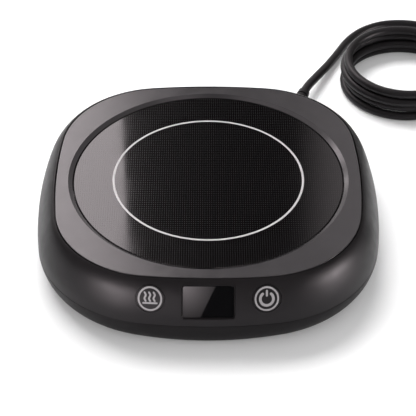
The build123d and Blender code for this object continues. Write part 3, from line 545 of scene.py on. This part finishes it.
def printOnKey(name, key, keyX, strokes, shape):
    # each stroke is a narrow strip laid on the key's curved face
    tree = faceTree(key)
    shares = shape["stripShares"]
    across = len(shares)
    points, faces = [], []

    def drop(x, y):
        start = panelPoint(keyX + x, panel["keyY"] + y * shape["tall"], shape["rayStart"])
        hit = tree.ray_cast(start, -panelOut)[0]
        return hit + panelOut * shape["lift"] * mm

    def addStrip(line, width, closed):
        count, first = len(line), len(points)
        for i, (x, y) in enumerate(line):
            before = line[(i - 1) % count] if closed or i > 0 else line[i]
            after = line[(i + 1) % count] if closed or i < count - 1 else line[i]
            way = Vector((after[0] - before[0], after[1] - before[1])).normalized()
            side = Vector((-way.y, way.x)) * width / 2
            for share in shares:
                points.append(drop(x + side.x * share, y + side.y * share))
        for i in range(count if closed else count - 1):
            here, there = first + across * i, first + across * ((i + 1) % count)
            for j in range(across - 1):
                faces.append((here + j, there + j, there + j + 1, here + j + 1))

    def addRoundEnd(end, inward, width):
        middle = Vector(end)
        way = (middle - Vector(inward)).normalized()
        base, turns = len(points), shape["capPoints"]
        points.append(drop(*middle))
        for k in range(turns):
            angle = math.pi * (k / (turns - 1) - 0.5)
            out = way * math.cos(angle) + Vector((-way.y, way.x)) * math.sin(angle)
            points.append(drop(*(middle + out * width / 2)))
        for k in range(1, turns):
            faces.append((base, base + k, base + k + 1))

    for kind, data, width in strokes:
        line = strokePoints(kind, data, shape)
        closed = math.dist(line[0], line[-1]) < shape["closed"]
        addStrip(line[:-1] if closed else line, width, closed)
        if not closed:
            addRoundEnd(line[0], line[1], width)
            addRoundEnd(line[-1], line[-2], width)
    piece = addPiece(name, meshFrom(name, points, faces), key)
    turnOutward(piece.data)
    dress(piece, keyInk)


def turnOutward(mesh):
    edit = bmesh.new()
    edit.from_mesh(mesh)
    for face in edit.faces:
        if face.normal.dot(panelOut) < 0:
            face.normal_flip()
    edit.to_mesh(mesh)
    edit.free()


ringStroke = ("arc", (keyPrint["ringRadius"], 0, 360), keyPrint["ringWidth"])
barEnds = [(side * keyPrint["barHalf"], keyPrint["barY"]) for side in (-1, 1)]
heatStrokes = [ringStroke, ("line", barEnds, keyPrint["barWidth"])]
for x in keyPrint["waveX"]:
    wave = (x, keyPrint["waveLow"], keyPrint["waveHigh"], keyPrint["waveSway"])
    heatStrokes.append(("wave", wave, keyPrint["waveWidth"]))
gap = keyPrint["powerGap"]
powerStrokes = [
    ringStroke,
    ("arc", (keyPrint["powerRadius"], 90 + gap, 450 - gap), keyPrint["powerWidth"]),
    ("line", ((0, keyPrint["stemHigh"]), (0, keyPrint["stemLow"])), keyPrint["stemWidth"]),
]
printOnKey("heatSymbol", "heat_key", -panel["keyX"], heatStrokes, keyPrint)
printOnKey("powerSymbol", "power_key", panel["keyX"], powerStrokes, keyPrint)
print("printing on")

# floor
floorFinish = {
    "color": (0.84, 0.835, 0.84),
    "roughness": 0.9,
    "specular": 0.1,
    "grain": (400, 2),  # noise scale and detail
    "grainStrength": 0.1,
    "grainDepth": 0.00005,
    "lift": (0.13, 0.28),  # glow that brings the bare floor up to the background, near and far
    "liftReach": (0.3, 1.3),  # metres from the middle
    "size": 9.0,
}


def makeFloor(finish):
    half = finish["size"] / 2
    corners = [(-half, -half, 0), (half, -half, 0), (half, half, 0), (-half, half, 0)]
    floor = bpy.data.objects.new("floor", meshFrom("floor", corners, [(0, 1, 2, 3)]))
    bpy.context.scene.collection.objects.link(floor)
    material, tree, shader = principled(
        "floorPaper", finish["color"], finish["roughness"], Specular_IOR_Level=finish["specular"]
    )
    coords = objectCoords(tree)
    grainNoise = noiseAt(tree, coords, *finish["grain"])
    addBump(tree, shader, grainNoise, finish["grainStrength"], finish["grainDepth"])
    rays = addNode(tree, "ShaderNodeLightPath").outputs
    seen = maths(tree, "ADD", rays["Is Camera Ray"], rays["Is Glossy Ray"])
    seen = maths(tree, "ADD", seen, rays["Is Transmission Ray"], use_clamp=True)
    away = vectorMaths(tree, "LENGTH", coords)
    lift = remap(tree, away, *finish["lift"], *finish["liftReach"])
    glow = maths(tree, "MULTIPLY", seen, lift)
    shader.inputs["Emission Color"].default_value = (1, 1, 1, 1)
    tree.links.new(glow, shader.inputs["Emission Strength"])
    dress(floor, material)


makeFloor(floorFinish)

# light
glossLight = (1.0, 0.95, 0.945)  # what the gloss sees is slightly warm
studio = {
    "diffuseLevel": 0.66,
    "sideLevels": [  # what gloss sees, from left to right
        (-1.0, 0.25),
        (-0.75, 0.5),
        (-0.3, 0.9),
        (-0.06, 0.03),
        (0.05, 0.02),
        (0.085, 1.0),
        (0.25, 0.85),
        (0.45, 0.4),
        (0.75, 0.3),
        (1.0, 0.35),
    ],
}


def makeWorld(settings):
    world = bpy.data.worlds.new("studio")
    world.use_nodes = True
    bpy.context.scene.world = world
    tree = world.node_tree
    background = tree.nodes["Background"]
    rays = addNode(tree, "ShaderNodeLightPath").outputs
    way = addNode(tree, "ShaderNodeTexCoord").outputs["Generated"]
    across = addNode(tree, "ShaderNodeSeparateXYZ", {0: way}).outputs["X"]
    place = remap(tree, across, 0, 1, -1, 1)
    ramp = addNode(tree, "ShaderNodeValToRGB", {"Fac": place})
    ramp.color_ramp.interpolation = "EASE"
    stops = settings["sideLevels"]
    for i, (x, level) in enumerate(stops):
        position = (x + 1) / 2
        if i < 2:
            stop = ramp.color_ramp.elements[i]
            stop.position = position
        else:
            stop = ramp.color_ramp.elements.new(position)
        stop.color = (*(level * channel for channel in glossLight), 1)
    plain = (settings["diffuseLevel"],) * 3
    unseen = blendColors(tree, rays["Is Glossy Ray"], plain, ramp.outputs["Color"])
    clear = maths(tree, "MAXIMUM", rays["Is Camera Ray"], rays["Is Transmission Ray"])
    color = blendColors(tree, clear, unseen, (1, 1, 1))
    tree.links.new(color, background.inputs["Color"])


makeWorld(studio)

lamps = {  # metres and watts
    "keyLeft": dict(
        place=(-0.56, 1.04, 1.3), aim=(0, 0, 1.3), size=(1.0, 1.3), power=21.0, gloss=True
    ),
    "rimSpot": dict(
        place=(-0.681, 1.048, 0.38), aim=(0, 0, 0.38), size=(0.44, 0.44), power=4.0,
        spot=(0, 0), reach=(0.22, 0.22), gloss=True,
    ),
    "fillRight": dict(
        place=(1.4, -0.5, 0.1), aim=(0, 0, 0.1), size=(1.3, 0.9), power=300.0,
        spot=(0, 0), reach=(0.6, 0.34), gloss=True,
    ),
    "frontLeft": dict(
        place=(-0.98, -1.255, 0.08), aim=(0, 0, 0.1), size=(1.7, 0.9), power=310.0,
        spot=(0, 0), reach=(0.85, 0.36), gloss=True,
    ),
    "windowCard": dict(
        place=(-0.134, -2.0, 0.225), aim=(-0.134, 0, 0.225), size=(0.3, 0.3), power=1.2,
        roll=-26.1, spot=(0.104, 0.003), reach=(0.085, 0.085), gloss=True,
    ),
    "overBack": dict(
        place=(-0.3, 0.72, 1.2), aim=(0, 0, 0), size=(1.05, 0.5), power=20.5, plain=True
    ),
}
fadePower = 2.0  # how fast a card falls off from its spot


def fadeLamp(data, lamp):
    # brightest at one spot, in metres from its middle, and dark a reach away from it
    data.use_nodes = True
    tree = data.node_tree
    across, up = lamp["size"]
    place = addNode(tree, "ShaderNodeNewGeometry").outputs["Parametric"]
    spot = (0.5 + lamp["spot"][0] / across, 0.5 + lamp["spot"][1] / up, 0)
    offset = vectorMaths(tree, "SUBTRACT", place, spot)
    wide, tall = lamp["reach"]
    scaled = vectorMaths(tree, "MULTIPLY", offset, (across / wide, up / tall, 0))
    near = remap(tree, vectorMaths(tree, "LENGTH", scaled), 1, 0, 0, 1)
    level = maths(tree, "POWER", near, fadePower)
    tree.links.new(level, tree.nodes["Emission"].inputs["Strength"])


def makeLamp(name, lamp):
    data = bpy.data.lights.new(name, "AREA")
    data.shape = "RECTANGLE"
    data.size, data.size_y = lamp["size"]
    data.energy = lamp["power"]
    data.color = glossLight if lamp.get("gloss") else (1, 1, 1)
    light = bpy.data.objects.new(name, data)
    light.location = lamp["place"]
    facing = (Vector(lamp["aim"]) - Vector(lamp["place"])).to_track_quat("-Z", "Y").to_matrix()
    if "spot" in lamp:
        fadeLamp(data, lamp)
    roll = Matrix.Rotation(math.radians(lamp.get("roll", 0.0)), 3, "Z")
    light.rotation_euler = (facing @ roll).to_euler()
    light.visible_camera = False
    light.visible_diffuse = not lamp.get("gloss")  # a card that only the gloss shows
    light.visible_glossy = not lamp.get("plain")  # a lamp that the gloss doesn't show
    bpy.context.scene.collection.objects.link(light)


for name, lamp in lamps.items():
    makeLamp(name, lamp)
bpy.context.scene.view_settings.view_transform = "Standard"
print("floor and light made")

bpy.context.view_layer.update()
